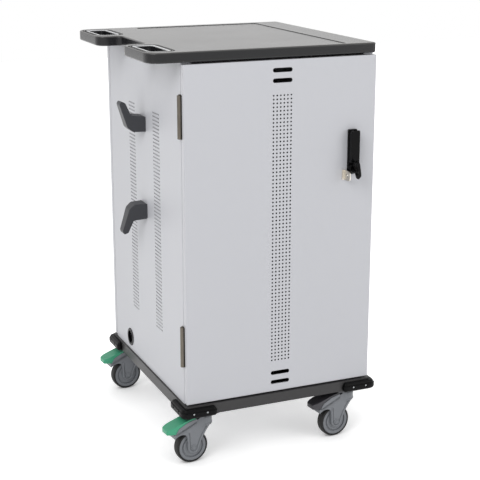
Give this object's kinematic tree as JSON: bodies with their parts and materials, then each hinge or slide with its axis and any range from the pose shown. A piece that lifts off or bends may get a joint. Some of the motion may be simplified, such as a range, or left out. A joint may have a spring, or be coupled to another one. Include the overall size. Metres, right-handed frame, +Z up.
{
  "type": "laptop charging cart",
  "caption": "Wheeled cabinet that stores and charges laptops, with locking sheet-metal doors, a worktop with looped handles, cord hooks and braked swivel castors.",
  "frame": {"origin": "on the floor, under the middle of the bounding box", "axes": "+Z up, -Y out of the front door, +X to the right seen from the front"},
  "size_m": [0.713, 0.7562, 1.2053],
  "materials": {
    "white_paint": "satin powder coat",
    "dark_paint": "satin powder coat",
    "dark_plastic": "fine-grained matt moulding",
    "black_plastic": "matt moulding",
    "grey_plastic": "satin moulding",
    "green_plastic": "satin moulding",
    "tyre_rubber": "matt",
    "steel": "plated",
    "zinc": "zinc plated"
  },
  "bodies": {
    "cabinet": {"base_frame": "dark_paint", "bumper_front_left": "black_plastic", "bumper_front_right": "black_plastic", "bumper_rear_right": "black_plastic", "bumper_rear_left": "black_plastic", "castor_plate_front_left": "zinc", "castor_plate_front_right": "zinc", "castor_plate_rear_right": "zinc", "castor_plate_rear_left": "zinc", "side_panel_left": "white_paint", "side_panel_right": "white_paint", "cabinet_floor": "white_paint", "cabinet_roof": "white_paint", "worktop": "dark_plastic", "front_hinge_frame_leaf_lower": "steel", "front_hinge_frame_leaf_upper": "steel", "rear_hinge_frame_leaf_lower": "steel", "rear_hinge_frame_leaf_upper": "steel", "cord_hook_upper": "dark_plastic", "cord_hook_lower": "dark_plastic", "cord_grommet": "black_plastic", "partition": "white_paint", "middle_shelf": "white_paint", "device_rack_lower": "dark_plastic", "device_rack_upper": "dark_plastic", "power_strip_lower": "black_plastic", "power_strip_upper": "black_plastic"},
    "front_door": {"front_door": "white_paint", "front_hinge_door_leaf_lower": "steel", "front_hinge_door_leaf_upper": "steel", "lock_base": "black_plastic", "padlock_staple": "steel"},
    "front_latch": {"latch_spindle": "zinc", "latch_cam": "zinc"},
    "door_handle": {"swing_handle": "black_plastic"},
    "door_key": {"lock_cylinder": "black_plastic", "lock_key": "black_plastic"},
    "rear_door": {"rear_door": "white_paint", "rear_hinge_door_leaf_lower": "steel", "rear_hinge_door_leaf_upper": "steel"},
    "rear_lock": {"rear_cam_lock": "zinc"},
    "castor_front_left": {"castor_fork_front_left": "grey_plastic"},
    "wheel_front_left": {"castor_hub_front_left": "grey_plastic", "castor_tyre_front_left": "tyre_rubber"},
    "pedal_front_left": {"castor_pedal_front_left": "green_plastic"},
    "castor_front_right": {"castor_fork_front_right": "grey_plastic"},
    "wheel_front_right": {"castor_hub_front_right": "grey_plastic", "castor_tyre_front_right": "tyre_rubber"},
    "pedal_front_right": {"castor_pedal_front_right": "black_plastic"},
    "castor_rear_right": {"castor_fork_rear_right": "grey_plastic"},
    "wheel_rear_right": {"castor_hub_rear_right": "grey_plastic", "castor_tyre_rear_right": "tyre_rubber"},
    "pedal_rear_right": {"castor_pedal_rear_right": "black_plastic"},
    "castor_rear_left": {"castor_fork_rear_left": "grey_plastic"},
    "wheel_rear_left": {"castor_hub_rear_left": "grey_plastic", "castor_tyre_rear_left": "tyre_rubber"},
    "pedal_rear_left": {"castor_pedal_rear_left": "green_plastic"}
  },
  "joints": [
    {"name": "front_door_hinge", "type": "hinge", "parent": "cabinet", "child": "front_door", "pos_m": [-0.259, -0.30285, 0.68], "axis": [0, 0, -1], "range_deg": [0, 190]},
    {"name": "handle_turn", "type": "hinge", "parent": "front_door", "child": "front_latch", "pos_m": [0.2605, -0.33, 0.9483], "axis": [0, -1, 0], "range_deg": [0, 90]},
    {"name": "handle_lift", "type": "hinge", "parent": "front_latch", "child": "door_handle", "pos_m": [0.2605, -0.34365, 0.9483], "axis": [-1, 0, 0], "range_deg": [0, 30]},
    {"name": "key_turn", "type": "hinge", "parent": "front_door", "child": "door_key", "pos_m": [0.2605, -0.33, 0.8483], "axis": [0, -1, 0], "range_deg": [0, 90]},
    {"name": "rear_door_hinge", "type": "hinge", "parent": "cabinet", "child": "rear_door", "pos_m": [0.338, 0.33515, 0.68], "axis": [0, 0, -1], "range_deg": [0, 190]},
    {"name": "rear_lock_turn", "type": "hinge", "parent": "rear_door", "child": "rear_lock", "pos_m": [-0.1815, 0.345, 0.7503], "axis": [0, 1, 0], "range_deg": [0, 90]},
    {"name": "castor_swivel_front_left", "type": "hinge", "parent": "cabinet", "child": "castor_front_left", "pos_m": [-0.1955, -0.29185, 0.13], "axis": [0, 0, 1], "continuous": true},
    {"name": "wheel_spin_front_left", "type": "hinge", "parent": "castor_front_left", "child": "wheel_front_left", "pos_m": [-0.23535, -0.29534, 0.05], "axis": [0.0872, -0.9962, 0], "continuous": true},
    {"name": "pedal_tip_front_left", "type": "hinge", "parent": "castor_front_left", "child": "pedal_front_left", "pos_m": [-0.23136, -0.29499, 0.1365], "axis": [-0.0872, 0.9962, 0], "range_deg": [0, 12]},
    {"name": "castor_swivel_front_right", "type": "hinge", "parent": "cabinet", "child": "castor_front_right", "pos_m": [0.2745, -0.29185, 0.13], "axis": [0, 0, 1], "continuous": true},
    {"name": "wheel_spin_front_right", "type": "hinge", "parent": "castor_front_right", "child": "wheel_front_right", "pos_m": [0.23465, -0.29534, 0.05], "axis": [0.0872, -0.9962, 0], "continuous": true},
    {"name": "pedal_tip_front_right", "type": "hinge", "parent": "castor_front_right", "child": "pedal_front_right", "pos_m": [0.23864, -0.29499, 0.1365], "axis": [-0.0872, 0.9962, 0], "range_deg": [0, 12]},
    {"name": "castor_swivel_rear_right", "type": "hinge", "parent": "cabinet", "child": "castor_rear_right", "pos_m": [0.2745, 0.32415, 0.13], "axis": [0, 0, 1], "continuous": true},
    {"name": "wheel_spin_rear_right", "type": "hinge", "parent": "castor_rear_right", "child": "wheel_rear_right", "pos_m": [0.23465, 0.32066, 0.05], "axis": [0.0872, -0.9962, 0], "continuous": true},
    {"name": "pedal_tip_rear_right", "type": "hinge", "parent": "castor_rear_right", "child": "pedal_rear_right", "pos_m": [0.23864, 0.32101, 0.1365], "axis": [-0.0872, 0.9962, 0], "range_deg": [0, 12]},
    {"name": "castor_swivel_rear_left", "type": "hinge", "parent": "cabinet", "child": "castor_rear_left", "pos_m": [-0.1955, 0.32415, 0.13], "axis": [0, 0, 1], "continuous": true},
    {"name": "wheel_spin_rear_left", "type": "hinge", "parent": "castor_rear_left", "child": "wheel_rear_left", "pos_m": [-0.23535, 0.32066, 0.05], "axis": [0.0872, -0.9962, 0], "continuous": true},
    {"name": "pedal_tip_rear_left", "type": "hinge", "parent": "castor_rear_left", "child": "pedal_rear_left", "pos_m": [-0.23136, 0.32101, 0.1365], "axis": [-0.0872, 0.9962, 0], "range_deg": [0, 12]}
  ]
}
